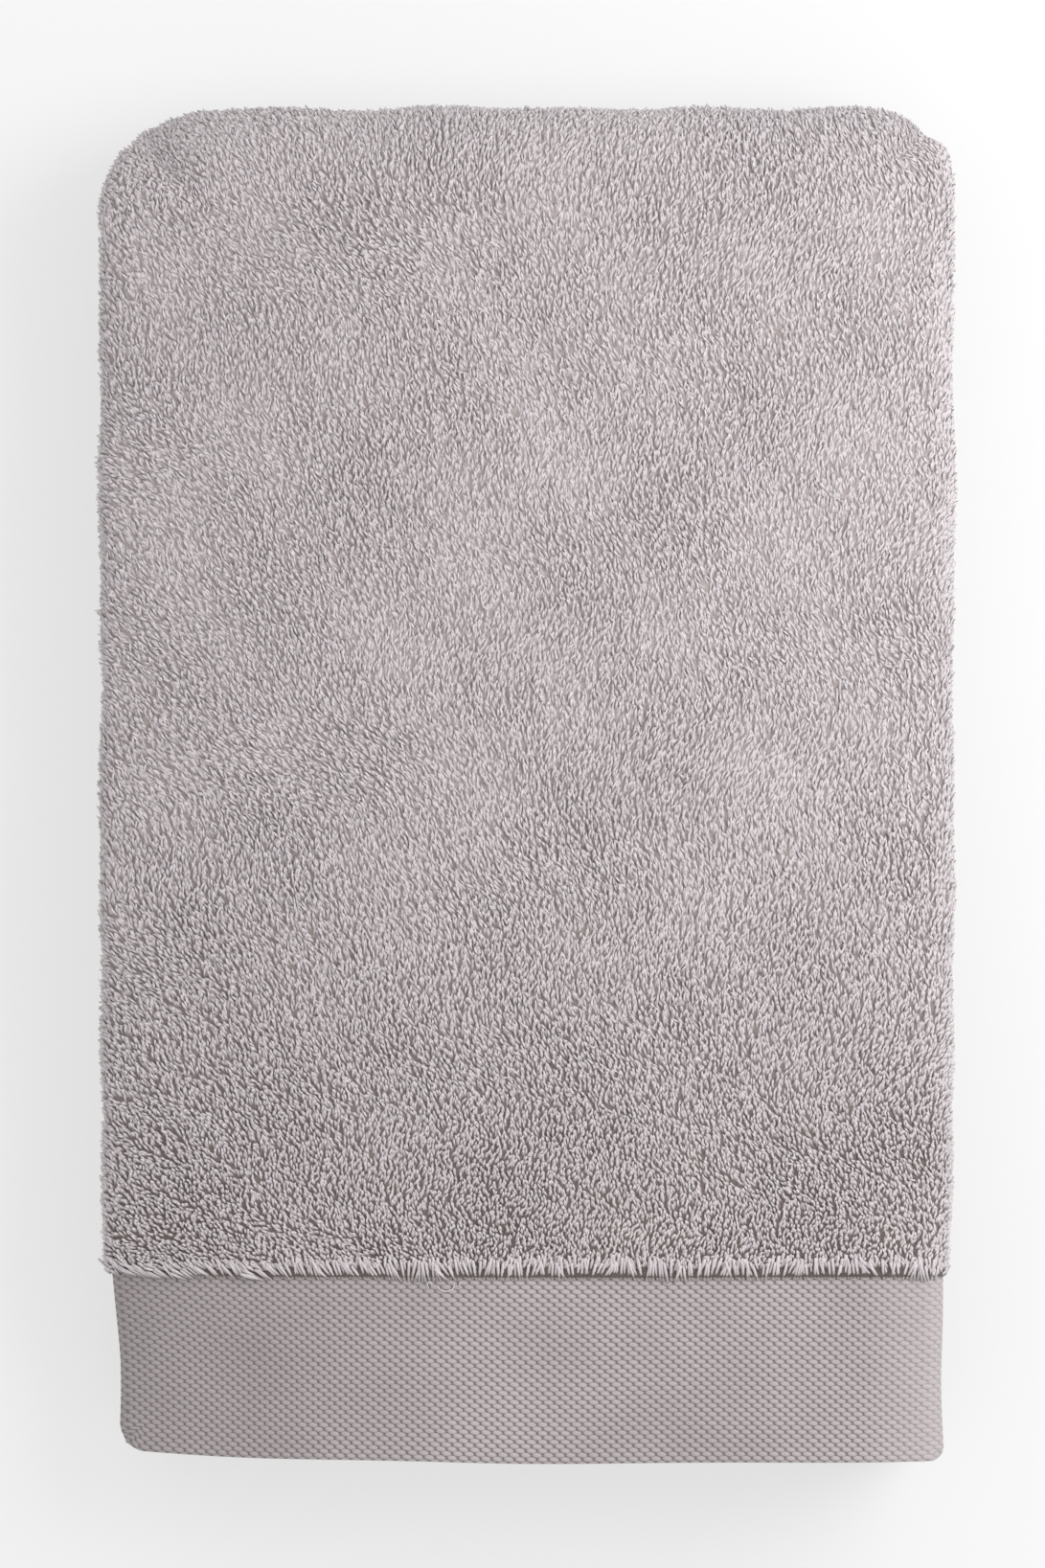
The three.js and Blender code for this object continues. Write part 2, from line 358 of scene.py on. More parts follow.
def ribbon(name, stretch, spots, rows, inner_offset, outer_offset, relief=None, ends=0.0, skip=1):
    """A thick ribbon of cloth along the letter fold, between two offsets from its middle line. spots are
    places across it and rows places along it. relief(q, s) lifts the outer side, and ends rounds the cut
    edges over that length. The inner side has one place for every skip of the outer side's."""
    back = spots[np.unique(np.append(np.arange(0, len(spots), skip), len(spots) - 1))]

    def thin(s):
        if not ends:
            return np.ones_like(s)
        away = np.minimum(s - rows[0], rows[-1] - s)
        return np.sqrt(np.clip(1 - (1 - np.clip(away / ends, 0, 1)) ** 2, 0.02, 1))

    q, s = np.meshgrid(spots, rows)
    lift = relief(q, s) if relief is not None else np.zeros_like(q)
    middle, half = (outer_offset + inner_offset) / 2, (outer_offset - inner_offset) / 2
    outer = on_strip(stretch, q, s, middle + half * thin(s) + lift)
    back_q, back_s = np.meshgrid(back, rows)
    inner = on_strip(stretch, back_q, back_s, middle - half * thin(back_s))
    points = np.concatenate([outer, inner[:, ::-1]], 1).reshape(-1, 3)
    turned = 2 * spots[-1] - back_q[:, ::-1]
    uv = np.stack([np.concatenate([q, turned], 1), np.concatenate([s, back_s], 1)], -1).reshape(-1, 2)
    faces = faces_out(points, sweep_faces(spots, back, len(rows)))
    values = {"across": uv[:, 0] / MM, "along": uv[:, 1] / MM}
    return make_mesh(name, soften(points), faces, uv, values)


# ---- The yarn loop ----
def unit(v):
    return v / np.maximum(np.linalg.norm(v, axis=-1, keepdims=True), 1e-12)


def loop_faces(count, rings, sides):
    i = np.arange(sides)
    j = (i + 1) % sides
    r = np.arange(rings - 1)[:, None] * sides
    quads = np.stack([r + i, r + j, r + sides + j, r + sides + i], -1).reshape(-1, 4)
    caps = np.stack([i[::-1], (rings - 1) * sides + i])
    base = (np.arange(count) * rings * sides)[:, None, None]
    return [(quads[None] + base).reshape(-1, 4), (caps[None] + base).reshape(-1, sides)]


def yarns(name, line, hint, place, across, along, yarn, sides, values):
    """Tubes of yarn round centre lines of shape (count, rings, 3). hint is a direction across each line.
    place, across and along are its root's flat position and the strip's directions there."""
    count, rings = line.shape[:2]
    tangent = np.empty_like(line)
    tangent[:, 1:-1] = line[:, 2:] - line[:, :-2]
    tangent[:, 0] = line[:, 1] - line[:, 0]
    tangent[:, -1] = line[:, -1] - line[:, -2]
    tangent = unit(tangent)
    flat = unit(np.cross(tangent, hint))
    upright = np.cross(tangent, flat)
    phi = np.arange(sides) * 2 * math.pi / sides
    cos_phi, sin_phi = np.cos(phi)[None, None, :, None], np.sin(phi)[None, None, :, None]
    points = line[:, :, None] + yarn * (cos_phi * flat[:, :, None] + sin_phi * upright[:, :, None])
    offset = points - line[:, :1, None]
    uv = np.stack([
        place[:, 0, None, None] + np.einsum("irsk,ik->irs", offset, across),
        place[:, 1, None, None] + np.einsum("irsk,ik->irs", offset, along),
    ], -1)
    shape = points.shape[:3]
    spread_out = {key: np.broadcast_to(value[..., None], shape).ravel() for key, value in values.items()}
    faces = loop_faces(count, rings, sides)
    return make_mesh(name, soften(points.reshape(-1, 3)), faces, uv.reshape(-1, 2), spread_out)


def loops(name, surface, place, size, lean, bearing, twist, rings, sides, yarn, width, droop=0.22,
          root_shade_lift=0.0):
    """Yarn loops standing on a surface, whose roots and directions frame_on() gives. Each leans by lean
    towards bearing (0 along the strip, a quarter turn across it) and turns about its own axis by twist.
    place is each root's flat position on the strip. width is half the loop's, in mm, and the last argument
    lightens the painted shade at its roots."""
    root, across, along, normal = surface
    count = len(root)
    cos_b, sin_b = np.cos(bearing)[:, None], np.sin(bearing)[:, None]
    toward = cos_b * along + sin_b * across
    aside = unit(np.cross(toward, normal))
    axis = np.cos(lean)[:, None] * normal + np.sin(lean)[:, None] * toward
    other = unit(np.cross(axis, aside))
    u = np.linspace(0, 1, rings)
    rise = np.sin(math.pi * u) ** 0.8
    spread = -np.cos(math.pi * u) * (0.28 + 0.72 * np.sin(math.pi * u)) * width * MM
    angle = twist[:, None] * (0.6 + 0.4 * rise[None])
    fan = np.cos(angle)[..., None] * aside[:, None] + np.sin(angle)[..., None] * other[:, None]
    length = size[:, None, None]
    bend = droop * (rise[None, :, None] ** 2) * length
    line = (root[:, None] + axis[:, None] * rise[None, :, None] * length + fan * spread[None, :, None]
            + bend * (toward[:, None] - 0.35 * normal[:, None]))
    tint = np.broadcast_to(rng.uniform(0, 1, count)[:, None], (count, rings))
    # the rise values carry the painted shade at the roots, which the last argument lightens
    tone = root_shade_lift + (1 - root_shade_lift) * rise
    values = {"tint": tint, "rise": np.broadcast_to(tone, (count, rings))}
    return yarns(name, line, np.cross(axis[:, None], fan), place, across, along, yarn, sides, values)


def scatter(q_range, s_range, pitch, row_pitch):
    """Jittered staggered rows of places over a flat area."""
    columns = max(2, round((q_range[1] - q_range[0]) / pitch))
    rows = max(2, round((s_range[1] - s_range[0]) / row_pitch))
    pitch = (q_range[1] - q_range[0]) / columns
    row_pitch = (s_range[1] - s_range[0]) / rows
    i, j = np.meshgrid(np.arange(columns), np.arange(rows))
    q = q_range[0] + (i + 0.5 * (j % 2) + 0.25 + rng.uniform(-0.3, 0.3, i.shape)) * pitch
    s = s_range[0] + (j + 0.5 + rng.uniform(-0.3, 0.3, i.shape)) * row_pitch
    return q.ravel(), s.ravel()


def frame_on(stretch, q, s, height):
    """Roots at a height above the ground cloth's face, with the strip's directions there."""
    step = 0.2 * MM

    def at(q, s, offset=PILE_SIDE):
        return on_strip(stretch, q, s, offset, PILE_SIDE)

    root = at(q, s, PILE_SIDE + height)
    across = unit(at(q + step, s) - at(q - step, s))
    along = unit(at(q, s + step) - at(q, s - step))
    normal = unit(at(q, s, PILE_SIDE + 1 * MM) - at(q, s))
    return root, across, along, normal


# Each kind of pile: its pitch across and along in mm, the loop's length, yarn and width in mm, its rings
# and its extra lean. "fine" shows in front, "edge" goes round the side folds, "open" lies inside and
# "floor" underneath.
STYLES = {
    "fine": {"pitch": (0.96, 1.22), "length": 3.0, "rings": 5, "yarn": 0.37, "width": 0.26, "lean": 0},
    "edge": {"pitch": (1.3, 1.6), "length": 2.6, "rings": 6, "yarn": 0.36, "width": 0.45, "lean": -0.2},
    "open": {"pitch": (2.1, 2.4), "length": 3.0, "rings": 6, "yarn": 0.5, "width": 0.8, "lean": 0},
    "floor": {"pitch": (3.4, 3.4), "length": 2.6, "rings": 6, "yarn": 0.62, "width": 1.4, "lean": 0.35},
}
YARN_SIDES = 3
PILE_LEAN = 1.0  # radians from upright
LEAST_LEAN, MOST_LEAN = 0.25, 1.3
ROOT_DEPTH = 0.5 * MM  # of the loops in the ground cloth
MOST_TRIANGLES = 198000  # in one piece


def lay_of_pile(x, y):
    """How the pile was brushed: its turn from the lengthwise direction and a change of its steepness."""
    turn = np.radians(30) * ramp(-x, -0.35 * HALF_WIDTH, HALF_WIDTH) + np.radians(4)
    swirl = np.radians(15) * waves(x, y, [46 * MM, 71 * MM, 118 * MM], 21)
    steep = 0.1 * waves(x, y, [58 * MM, 36 * MM, 92 * MM], 22)
    return turn + swirl, steep


def pile(name, stretch, q_range, s_range, style):
    """Pieces of pile over one area of a stretch, each with at most MOST_TRIANGLES triangles."""
    form = STYLES[style]
    scale = stretch.stretched(PLY + PILE_SIDE)
    pitch, row_pitch = form["pitch"]
    q, s = scatter(q_range, (s_range[0] * scale, s_range[1] * scale), pitch * MM, row_pitch * MM)
    s = s / scale
    order = np.argsort(s, kind="stable")
    per_loop = 2 * (form["rings"] - 1) * YARN_SIDES + 2 * (YARN_SIDES - 2)
    pieces = math.ceil(len(q) * per_loop / MOST_TRIANGLES)
    made = []
    for k, part in enumerate(np.array_split(order, pieces)):
        surface = frame_on(stretch, q[part], s[part], -ROOT_DEPTH)
        root = surface[0]
        count = len(part)
        turn, steep = lay_of_pile(root[:, 0], root[:, 1])
        bearing = -turn + rng.normal(0, 0.3, count)
        size = form["length"] * MM * rng.uniform(0.85, 1.15, count)
        lean = PILE_LEAN + form["lean"] + steep + rng.normal(0, 0.15, count)
        if style == "fine":  # it opens towards the band end, into clumps of shorter, steeper loops
            opened = ramp(-root[:, 1], 10 * MM, 150 * MM)
            clumps = waves(root[:, 0], root[:, 1], [5.5 * MM, 7.5 * MM, 10 * MM], 24)
            lean = lean + 0.2 - 0.36 * opened + (0.02 + 0.07 * opened) * clumps
            bearing = bearing + 0.3 * opened * waves(root[:, 0], root[:, 1], [8 * MM, 13 * MM], 25)
            size = size * (1 - 0.34 * opened)
        lean = np.clip(lean, LEAST_LEAN, MOST_LEAN)
        twist = rng.uniform(-1.5, 1.5, count)
        place = np.stack([q[part], s[part] * scale], -1)
        label = name if pieces == 1 else f"{name}_{k + 1}"
        made.append(loops(label, surface, place, size, lean, bearing, twist, form["rings"], YARN_SIDES,
                          form["yarn"] * MM, form["width"]))
    return made


# ---- Materials ----
CELL_ACROSS = 3.2 * MM  # the border's weave: staggered oval floats
CELL_ALONG = 2.48 * MM  # two rows
OVAL_WIDE, OVAL_LONG = 0.48, 0.34  # half sizes, of a cell
OVAL_TILT = 0.1
FLOAT_HEIGHT = 0.34 * MM


def node_material(name):
    material = bpy.data.materials.new(name)
    material.use_nodes = True
    tree = material.node_tree
    shader = tree.nodes["Principled BSDF"]
    return material, tree, shader


def link(tree, source, target):
    tree.links.new(source, target)


def add(tree, kind, **settings):
    node = tree.nodes.new(kind)
    for key, value in settings.items():
        setattr(node, key, value)
    return node


def mix_colours(tree, factor, a, b):
    """A mix of two colours, each a socket or a tuple, by a socket."""
    node = add(tree, "ShaderNodeMix", data_type="RGBA")
    link(tree, factor, node.inputs[0])
    for value, target in ((a, node.inputs[6]), (b, node.inputs[7])):
        if isinstance(value, tuple):
            target.default_value = value
        else:
            link(tree, value, target)
    return node.outputs[2]


def noise(tree, scale, detail=3.0):
    where = add(tree, "ShaderNodeTexCoord")
    node = add(tree, "ShaderNodeTexNoise")
    node.inputs["Scale"].default_value = scale
    node.inputs["Detail"].default_value = detail
    link(tree, where.outputs["Object"], node.inputs["Vector"])
    return node.outputs["Fac"]


def spread_range(tree, source, low, high, to_low=0.0, to_high=1.0):
    node = add(tree, "ShaderNodeMapRange")
    node.inputs["From Min"].default_value = low
    node.inputs["From Max"].default_value = high
    node.inputs["To Min"].default_value = to_low
    node.inputs["To Max"].default_value = to_high
    link(tree, source, node.inputs["Value"])
    return node.outputs["Result"]


def attribute(tree, name):
    return add(tree, "ShaderNodeAttribute", attribute_name=name).outputs["Fac"]


def bump(tree, shader, height, strength, distance):
    node = add(tree, "ShaderNodeBump")
    node.inputs["Strength"].default_value = strength
    node.inputs["Distance"].default_value = distance
    link(tree, height, node.inputs["Height"])
    link(tree, node.outputs["Normal"], shader.inputs["Normal"])


def cotton(shader, roughness, sheen):
    shader.inputs["Roughness"].default_value = roughness
    shader.inputs["Specular IOR Level"].default_value = 0.25
    shader.inputs["Sheen Weight"].default_value = sheen
    shader.inputs["Sheen Roughness"].default_value = 0.45


PALE = (0.71, 0.656, 0.668, 1)
MIDDLE = (0.625, 0.57, 0.584, 1)
SHADED = (0.45, 0.40, 0.405, 1)  # painted shade at the roots of pile that lies close
OPEN_ROOT_SHADE = (0.35, 0.3, 0.29, 1)  # and painted shade at the roots of pile that stands open
# painted shade on the ground cloth where the pile stands open
OPEN_GROUND_SHADE = (0.13, 0.1, 0.092, 1)
# the band's deep colour also gives the painted shade in the gaps between floats and near the left fold
BAND_PALE, BAND_DEEP = (0.48, 0.432, 0.438, 1), (0.18, 0.154, 0.154, 1)
HEM_PALE, HEM_DEEP = (0.52, 0.47, 0.475, 1), (0.42, 0.37, 0.375, 1)
THREAD_PALE, THREAD_DEEP = (0.86, 0.81, 0.81, 1), (0.7, 0.65, 0.65, 1)
TAPE_PALE, TAPE_DEEP = (0.86, 0.85, 0.82, 1), (0.78, 0.77, 0.74, 1)
LEFT_SHADE, RIGHT_LIGHT = 90, 18  # mm of the band next to a side fold with painted shade, and with painted light


def open_end_shade(tree):
    """From 0 where the pile lies close to 1 at the band end, where it stands open: how much deeper the
    painted shade at the roots and on the ground cloth is.
    """
    where = add(tree, "ShaderNodeTexCoord")
    parts = add(tree, "ShaderNodeSeparateXYZ")
    link(tree, where.outputs["Object"], parts.inputs[0])
    return spread_range(tree, parts.outputs["Y"], 0.04, -0.15)


def pile_material():
    """Cotton yarn with painted shade at the loops' roots, each loop a little different, with slow patches
    of tone.
    """
    material, tree, shader = node_material("terry_pile")
    cotton(shader, 0.9, 0.5)
    per_loop = spread_range(tree, attribute(tree, "tint"), 0, 1)
    yarn = mix_colours(tree, per_loop, MIDDLE, PALE)
    patches = spread_range(tree, noise(tree, 22), 0.35, 0.7, 0.0, 0.3)
    yarn = mix_colours(tree, patches, yarn, MIDDLE)
    # painted shade at the roots of the loops, from the rise values
    root_shade = spread_range(tree, attribute(tree, "rise"), 0.0, 0.7)
    roots = mix_colours(tree, open_end_shade(tree), SHADED, OPEN_ROOT_SHADE)
    link(tree, mix_colours(tree, root_shade, roots, yarn), shader.inputs["Base Color"])
    fibres = noise(tree, 3600, 2.0)
    link(tree, spread_range(tree, fibres, 0.3, 0.7, 0.82, 0.97), shader.inputs["Roughness"])
    bump(tree, shader, fibres, 0.5, 0.1 * MM)
    return material


def ground_material():
    """The ground cloth under the loops, mottled, in the painted shade of the roots, and deeper painted
    shade towards the band end.
    """
    material, tree, shader = node_material("terry_ground")
    cotton(shader, 0.95, 0.15)
    grain = noise(tree, 700, 4.0)
    mottled = mix_colours(tree, spread_range(tree, grain, 0.35, 0.7), OPEN_ROOT_SHADE, SHADED)
    # deeper painted shade on the ground cloth towards the band end
    dark = mix_colours(tree, open_end_shade(tree), mottled, OPEN_GROUND_SHADE)
    link(tree, dark, shader.inputs["Base Color"])
    link(tree, spread_range(tree, grain, 0.3, 0.7, 0.85, 1.0), shader.inputs["Roughness"])
    bump(tree, shader, grain, 1.0, 0.8 * MM)
    return material


def maths(tree, operation, a, b=None):
    node = add(tree, "ShaderNodeMath", operation=operation)
    for value, target in ((a, node.inputs[0]), (b, node.inputs[1])):
        if isinstance(value, (int, float)):
            target.default_value = value
        elif value is not None:
            link(tree, value, target)
    return node.outputs[0]


def in_cell(tree, distance, cell, shift):
    """Where a distance in mm lies in its cell of the weave, from -0.5 to 0.5."""
    cells = maths(tree, "ADD", maths(tree, "MULTIPLY", distance, MM / cell), shift)
    return maths(tree, "SUBTRACT", maths(tree, "FRACT", cells), 0.5)


def squared(tree, value, size):
    part = maths(tree, "DIVIDE", value, size)
    return maths(tree, "MULTIPLY", part, part)


def oval_relief(tree):
    """The same staggered floats as birdseye() lifts, from the cloth's flat position."""
    across = attribute(tree, "across")
    along = attribute(tree, "along")
    tops = []
    for shift in (0.0, 0.5):
        a = in_cell(tree, across, CELL_ACROSS, shift)
        b = in_cell(tree, along, CELL_ALONG, shift)
        b = maths(tree, "ADD", b, maths(tree, "MULTIPLY", a, OVAL_TILT))
        squares = maths(tree, "ADD", squared(tree, a, OVAL_WIDE), squared(tree, b, OVAL_LONG))
        tops.append(maths(tree, "SQRT", maths(tree, "MAXIMUM", maths(tree, "SUBTRACT", 1, squares), 0)))
    return maths(tree, "MAXIMUM", tops[0], tops[1])


def woven_material(name, pale, deep, thread_scale, ovals=False):
    """Flat-woven cotton with a fine thread grain. With ovals, it has the border's floats, paler than their
    gaps, which are painted darker as shade, and painted shade near the left side fold and painted light
    near the right one."""
    material, tree, shader = node_material(name)
    cotton(shader, 0.8, 0.2)
    threads = noise(tree, thread_scale, 3.0)
    height = oval_relief(tree) if ovals else threads
    # with ovals, the colour follows the floats' height, with painted shade in the gaps; without, it follows
    # the thread grain
    colour = mix_colours(tree, spread_range(tree, height, 0.1 if ovals else 0.35, 0.85), deep, pale)
    patches = spread_range(tree, noise(tree, 30), 0.35, 0.7, 0.0, 0.22)
    colour = mix_colours(tree, patches, colour, deep)
    if ovals:
        # painted shade over the band next to the left side fold, and painted light next to the right one
        marks = letter_marks(0.0) / MM
        across = attribute(tree, "across")
        left_shade = spread_range(tree, across, marks[2], marks[2] + LEFT_SHADE, 0.3, 0.0)
        colour = mix_colours(tree, left_shade, colour, deep)
        right_light = spread_range(tree, across, marks[3] - RIGHT_LIGHT, marks[3] + 2, 0.0, 0.7)
        colour = mix_colours(tree, right_light, colour, pale)
    link(tree, colour, shader.inputs["Base Color"])
    link(tree, spread_range(tree, threads, 0.3, 0.7, 0.72, 0.9), shader.inputs["Roughness"])
    raised = maths(tree, "ADD", height, maths(tree, "MULTIPLY", threads, 0.5)) if ovals else threads
    bump(tree, shader, raised, 0.8, 0.36 * MM if ovals else 0.2 * MM)
    return material


def tape_material():
    """Blank satin tape for the care label, with fine ribs across it."""
    material, tree, shader = node_material("label_tape")
    cotton(shader, 0.5, 0.1)
    where = add(tree, "ShaderNodeTexCoord")
    ribs = add(tree, "ShaderNodeTexWave", bands_direction="Y")
    ribs.inputs["Scale"].default_value = 900
    link(tree, where.outputs["Object"], ribs.inputs["Vector"])
    tone = spread_range(tree, ribs.outputs["Fac"], 0, 1)
    link(tree, mix_colours(tree, tone, TAPE_DEEP, TAPE_PALE), shader.inputs["Base Color"])
    link(tree, spread_range(tree, ribs.outputs["Fac"], 0, 1, 0.4, 0.6), shader.inputs["Roughness"])
    bump(tree, shader, ribs.outputs["Fac"], 0.3, 0.05 * MM)
    return material


PILE = pile_material()
GROUND = ground_material()
BAND = woven_material("border_weave", BAND_PALE, BAND_DEEP, 2600, ovals=True)
HEM = woven_material("hem_weave", HEM_PALE, HEM_DEEP, 1900)
THREAD = woven_material("sewing_thread", THREAD_PALE, THREAD_DEEP, 5000)
TAPE = tape_material()


# ---- Pieces ----
# How far each top fold reaches above and below the middle of the stack.
FOLDS = {"top_fold_outer": 0.5 * STRIP + STRIP_SOLID / 2, "top_fold_inner": 0.5 * STRIP}


def attach(piece, name, material):
    """Gives a piece its material and slot, and lets it ride one half of the towel; a piece of a top fold
    stays unattached in its place.
    """
    piece.data.materials.append(material)
    if name in FOLDS:
        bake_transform(piece)
    else:
        front = name in ("front_quarter", "inner_front_quarter")
        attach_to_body(piece, "front_half" if front else "base_half")
    return piece


def spaced(start, stop, step):
    return np.linspace(start, stop, max(2, round((stop - start) / step) + 1))


def letter_spots(step, fold_step, trim):
    """Places across the letter fold's middle line, closer together round its two folds."""
    m = letter_marks(0.0)
    parts = [
        spaced(m[0] + trim, m[1], step),
        spaced(m[1], m[2], fold_step),
        spaced(m[2], m[3], step),
        spaced(m[3], m[4], fold_step),
        spaced(m[4], m[5] - trim, step),
    ]
    return np.unique(np.round(np.concatenate(parts), 7))


# Places round the letter fold, at the pile's root: the two side folds with a little of their plies, and the
# middle third between them.
MARKS = letter_marks(PILE_SIDE)
ROUND_THE_FOLD = 5 * MM
LEFT_EDGE = (MARKS[1] - ROUND_THE_FOLD, MARKS[2])
MIDDLE_FACE = (MARKS[2], MARKS[3])
RIGHT_EDGE = (MARKS[3], MARKS[4] + ROUND_THE_FOLD)
FACE_STYLE = {
    "front_quarter": "fine",
    "top_fold_outer": "fine",
    "back_quarter": "floor",
    "bottom_fold": "edge",
    "inner_back_quarter": "open",
    "inner_front_quarter": "open",
    "top_fold_inner": None,
}

EDGE_SETBACK = 0.5 * MM  # of the ground cloth behind its last loops, beside a band
FRINGE_ROOM = 2.3 * MM  # that the last loops have for themselves
BAND_UNDERLAP = 1.2 * MM  # of the band into the terry
FRINGE_PITCH, INNER_FRINGE_PITCH = 1.02 * MM, 2.2 * MM
HEM_RIBS = 5


def terry_ends(name):
    """Where the terry of a stretch starts and stops along it."""
    length = stretches[name].length
    return {
        "front_quarter": (BAND_LENGTH, length),
        "inner_front_quarter": (0.0, length - BAND_LENGTH),
    }.get(name, (0.0, length))


def side_hem(name, side):
    """The turned hem along one side of the towel, over one stretch, with lengthwise ribs."""
    stretch = stretches[name]
    marks = letter_marks(0.0)
    span = (marks[0], marks[0] + SIDE_HEM) if side == "left" else (marks[5] - SIDE_HEM, marks[5])
    rows = spaced(GAP / 2, stretch.length - GAP / 2, 2.5 * MM)
    half = (tucked_hi.z - tucked_lo.z) / 2

    def ribs(q, s):
        middle = (q - span[0]) / SIDE_HEM
        return 0.12 * MM * np.cos(2 * math.pi * middle * HEM_RIBS) - 0.5 * half * (2 * middle - 1) ** 6

    piece = ribbon(f"{name}_{side}_hem", stretch, spaced(*span, 0.45 * MM), rows, -half, half, ribs)
    attach(piece, name, HEM)
    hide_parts(f"{name}_{side}_side_hem")
    return piece


def terry(name):
    """One stretch of terry: its ground cloth, its pile and its side hems."""
    stretch = stretches[name]
    start, stop = terry_ends(name)
    row_step = 1.6 * MM if stretch.curved else 5 * MM
    spots = letter_spots(5 * MM, 1.0 * MM, SIDE_HEM)
    first = start + (EDGE_SETBACK if name == "front_quarter" else 0)
    last = stop - (EDGE_SETBACK if name == "inner_front_quarter" else 0)
    cloth = ribbon(f"{name}_cloth", stretch, spots, spaced(first, last, row_step), -PILE_SIDE, PILE_SIDE)
    attach(cloth, name, GROUND)
    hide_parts(f"{name}_terry")
    edge_style = "fine" if FACE_STYLE[name] == "fine" else "edge"
    areas = [("left_edge_pile", LEFT_EDGE, edge_style), ("right_edge_pile", RIGHT_EDGE, edge_style)]
    if FACE_STYLE[name]:
        areas.append(("pile", MIDDLE_FACE, FACE_STYLE[name]))
    extras = []
    for label, q_range, style in areas:
        clear = FRINGE_ROOM if label == "pile" else 0
        near = start + (clear if name == "front_quarter" else 0)
        far = stop - (clear if name == "inner_front_quarter" else 0)
        for piece in pile(f"{name}_{label}", stretch, q_range, (near, far), style):
            extras.append(attach(piece, name, PILE))
    if name == "front_quarter":
        extras.append(fringe("front_fringe", name, BAND_LENGTH, 1, FRINGE_PITCH))
    if name == "inner_front_quarter":
        extras.append(fringe("inner_fringe", name, stretch.length - BAND_LENGTH, -1, INNER_FRINGE_PITCH))
    extras += [side_hem(name, "left"), side_hem(name, "right")]


def birdseye(q, s):
    """Relief of the border's weave: staggered small oval floats."""
    lift = np.zeros_like(q)
    for shift in (0.0, 0.5):
        a = (q / CELL_ACROSS + shift) % 1 - 0.5
        b = (s / CELL_ALONG + shift) % 1 - 0.5 + OVAL_TILT * a
        oval = 1 - (a / OVAL_WIDE) ** 2 - (b / OVAL_LONG) ** 2
        lift = np.maximum(lift, np.sqrt(np.clip(oval, 0, 1)))
    return FLOAT_HEIGHT * lift


HIDDEN_STEP = 4 * MM  # between places on the band where it lies inside the fold


def border(name, stretch_name, end_row, direction, fine):
    """The flat-woven band at one end of the towel, the hem turned under it and the hem's stitching."""
    stretch = stretches[stretch_name]
    marks = letter_marks(0.0)
    step, row_step = (0.52 * MM, 0.38 * MM) if fine else (1.0 * MM, 0.62 * MM)
    tucked = spaced(marks[0] + SIDE_HEM, marks[1], HIDDEN_STEP)[:-1]
    last = spaced(marks[4], marks[5] - SIDE_HEM, HIDDEN_STEP)[1:]
    spots = np.concatenate([tucked, spaced(marks[1], marks[4], step), last])
    rows = np.sort(end_row + direction * spaced(0, BAND_LENGTH + BAND_UNDERLAP, row_step))
    half = BAND_CLOTH / 2
    face = half - 0.1 * MM
    band = ribbon(f"{name}_border", stretch, spots, rows, -half, face, birdseye, ends=0.7 * MM, skip=6)
    attach(band, stretch_name, BAND)
    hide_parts(f"{name}_border_band")
    hem_length = end_hem_hi.y + GAP / 2 - END_Y
    hem_rows = np.sort(end_row + direction * spaced(0.3 * MM, hem_length, 1.0 * MM))
    hem_spots = letter_spots(HIDDEN_STEP, 0.6 * MM, SIDE_HEM)
    hem_inner, hem_outer = -half - 1.1 * MM, -half - 0.25 * MM
    hem = ribbon(f"{name}_turned_hem", stretch, hem_spots, hem_rows, hem_inner, hem_outer, ends=0.5 * MM)
    attach(hem, stretch_name, BAND)
    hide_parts(f"{name}_end_hem")
    stitch_place = end_row + direction * (hem_length + 0.5 * MM)
    stitches = stitch_row(f"{name}_stitches", stretch, stitch_place, -half - 0.6 * MM)
    attach(stitches, stretch_name, THREAD)
    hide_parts(f"{name}_hem_stitching")


def stitch_row(name, stretch, s, offset):
    """Separate lockstitches along the turned hem's free edge."""
    marks = letter_marks(0.0)
    pitch, length, thick = 3.0 * MM, 2.4 * MM, 0.28 * MM
    starts = np.arange(marks[0] + SIDE_HEM + pitch, marks[5] - SIDE_HEM - pitch, pitch)
    rings, sides = 5, 6
    t = np.linspace(0, 1, rings)
    phi = np.arange(sides) * 2 * math.pi / sides
    swell = thick * np.sqrt(np.clip(1 - (2 * t - 1) ** 2, 0.08, 1))
    q, along, lift = np.broadcast_arrays(
        starts[:, None, None] + (t * length)[None, :, None],
        s + swell[None, :, None] * np.cos(phi),
        offset + swell[None, :, None] * np.sin(phi),
    )
    points = on_strip(stretch, q, along, lift).reshape(-1, 3)
    uv = np.stack([q, along], -1).reshape(-1, 2)
    faces = faces_out(points, loop_faces(len(starts), rings, sides))
    return make_mesh(name, soften(points), faces, uv)


# The last rows of loops beside a band: place from the terry's edge, root height and length in mm, and lean.
FRINGE_ROWS = {"place": (-0.3, 1.8), "height": (-1.05, -1.2), "length": (5.1, 4.3), "lean": (1.02, 0.9)}


